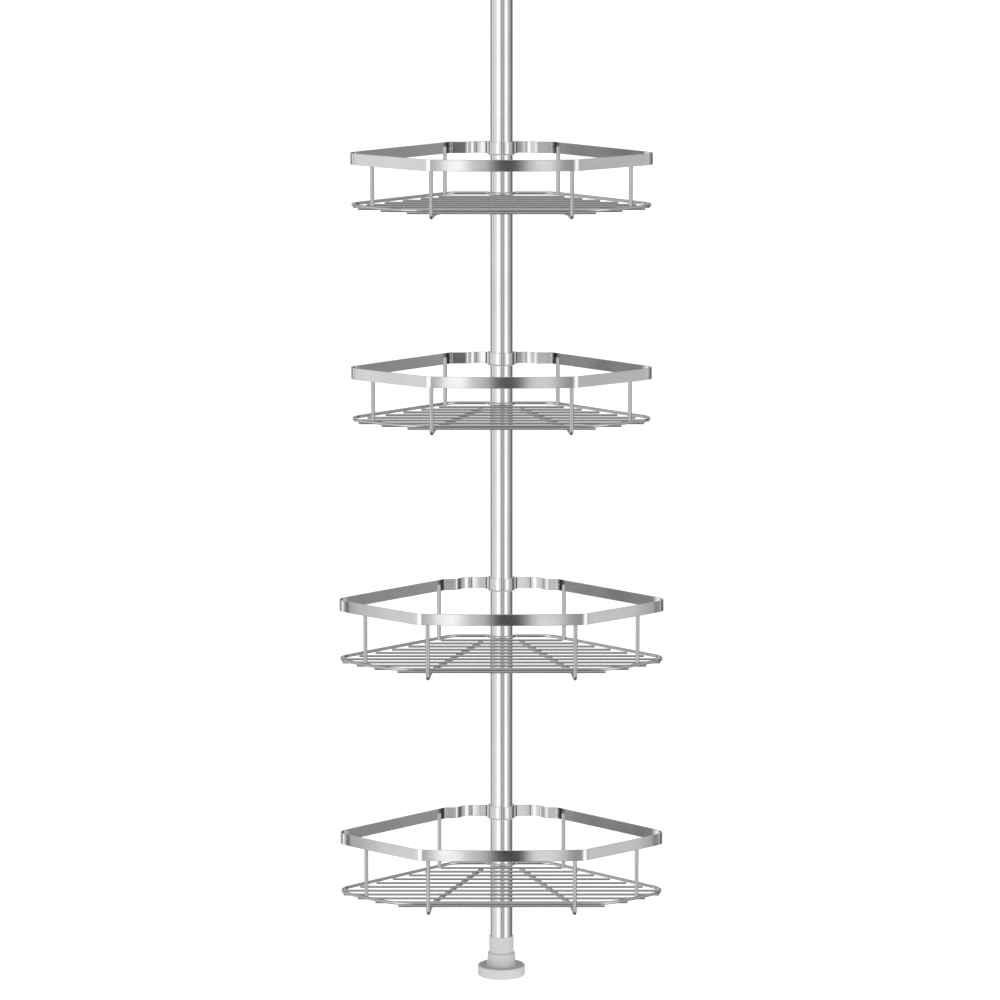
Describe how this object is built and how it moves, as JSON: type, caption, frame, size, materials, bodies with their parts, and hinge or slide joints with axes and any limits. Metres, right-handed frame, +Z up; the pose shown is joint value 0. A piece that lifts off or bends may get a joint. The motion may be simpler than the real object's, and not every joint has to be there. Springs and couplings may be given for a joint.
{
  "type": "tension pole shelf unit",
  "caption": "Sprung pole that stands between floor and ceiling and carries wire shelves with flat steel rails, which slide and swivel on it.",
  "frame": {"origin": "middle of the floor pad's underside, on the axis of the pole", "axes": "+Z up along the pole, shelves reach forwards along -Y, X across them"},
  "size_m": [0.355, 0.2478, 2],
  "materials": {
    "polished_steel": "polished steel tube and wire",
    "brushed_steel": "flat strip, brushed along its length",
    "spring_steel": "oiled spring wire",
    "grey_plastic": "moulded light grey plastic, satin",
    "dark_plastic": "moulded dark grey plastic",
    "rubber": "soft grey rubber"
  },
  "bodies": {
    "pole": {"floor_foot": "grey_plastic", "floor_pad": "rubber", "lower_pole_tube": "polished_steel", "pole_joint_plug": "dark_plastic", "upper_pole_tube": "polished_steel", "guide_collet": "dark_plastic"},
    "twist_lock": {"twist_lock_ring": "grey_plastic"},
    "inner_pole": {"inner_pole_tube": "polished_steel", "inner_tube_cap": "grey_plastic", "spring_seat": "dark_plastic", "tension_spring": "spring_steel"},
    "ceiling_plunger": {"spring_plunger": "polished_steel", "ceiling_foot": "grey_plastic", "ceiling_pad": "rubber"},
    "bottom_sleeve": {"bottom_lock_sleeve": "dark_plastic"},
    "bottom_shelf": {"bottom_rail_band": "brushed_steel", "bottom_collar_strap": "brushed_steel", "bottom_floor_grid": "polished_steel", "bottom_left_front_wire": "polished_steel", "bottom_right_front_wire": "polished_steel", "bottom_left_side_post": "polished_steel", "bottom_right_side_post": "polished_steel", "bottom_left_rear_post": "polished_steel", "bottom_right_rear_post": "polished_steel"},
    "lower_sleeve": {"lower_lock_sleeve": "dark_plastic"},
    "lower_shelf": {"lower_rail_band": "brushed_steel", "lower_collar_strap": "brushed_steel", "lower_floor_grid": "polished_steel", "lower_left_front_wire": "polished_steel", "lower_right_front_wire": "polished_steel", "lower_left_side_post": "polished_steel", "lower_right_side_post": "polished_steel", "lower_left_rear_post": "polished_steel", "lower_right_rear_post": "polished_steel"},
    "upper_sleeve": {"upper_lock_sleeve": "dark_plastic"},
    "upper_shelf": {"upper_rail_band": "brushed_steel", "upper_collar_strap": "brushed_steel", "upper_floor_grid": "polished_steel", "upper_left_front_wire": "polished_steel", "upper_right_front_wire": "polished_steel", "upper_left_side_post": "polished_steel", "upper_right_side_post": "polished_steel", "upper_left_rear_post": "polished_steel", "upper_right_rear_post": "polished_steel"},
    "top_sleeve": {"top_lock_sleeve": "dark_plastic"},
    "top_shelf": {"top_rail_band": "brushed_steel", "top_collar_strap": "brushed_steel", "top_floor_grid": "polished_steel", "top_left_front_wire": "polished_steel", "top_right_front_wire": "polished_steel", "top_left_side_post": "polished_steel", "top_right_side_post": "polished_steel", "top_left_rear_post": "polished_steel", "top_right_rear_post": "polished_steel"}
  },
  "joints": [
    {"name": "inner_pole_slide", "type": "slide", "parent": "pole", "child": "inner_pole", "axis": [0, 0, 1], "range_m": [-0.13, 0.45]},
    {"name": "twist_lock_turn", "type": "hinge", "parent": "pole", "child": "twist_lock", "pos_m": [0, 0, 1.402], "axis": [0, 0, 1], "range_deg": [-90, 0]},
    {"name": "ceiling_foot_spring", "type": "slide", "parent": "inner_pole", "child": "ceiling_plunger", "axis": [0, 0, 1], "range_m": [-0.035, 0], "stiffness_N_per_m": 3200, "springref_m": 0.005, "deforming": ["tension_spring"]},
    {"name": "bottom_shelf_height", "type": "slide", "parent": "pole", "child": "bottom_sleeve", "axis": [0, 0, 1], "range_m": [-0.07, 0.08]},
    {"name": "bottom_shelf_swivel", "type": "hinge", "parent": "bottom_sleeve", "child": "bottom_shelf", "pos_m": [0, 0, 0.198], "axis": [0, 0, 1], "continuous": true},
    {"name": "lower_shelf_height", "type": "slide", "parent": "pole", "child": "lower_sleeve", "axis": [0, 0, 1], "range_m": [-0.08, 0.08]},
    {"name": "lower_shelf_swivel", "type": "hinge", "parent": "lower_sleeve", "child": "lower_shelf", "pos_m": [0, 0, 0.4595], "axis": [0, 0, 1], "continuous": true},
    {"name": "upper_shelf_height", "type": "slide", "parent": "pole", "child": "upper_sleeve", "axis": [0, 0, 1], "range_m": [-0.08, 0.08]},
    {"name": "upper_shelf_swivel", "type": "hinge", "parent": "upper_sleeve", "child": "upper_shelf", "pos_m": [0, 0, 0.7142], "axis": [0, 0, 1], "continuous": true},
    {"name": "top_shelf_height", "type": "slide", "parent": "pole", "child": "top_sleeve", "axis": [0, 0, 1], "range_m": [-0.08, 0.38]},
    {"name": "top_shelf_swivel", "type": "hinge", "parent": "top_sleeve", "child": "top_shelf", "pos_m": [0, 0, 0.949], "axis": [0, 0, 1], "continuous": true}
  ]
}
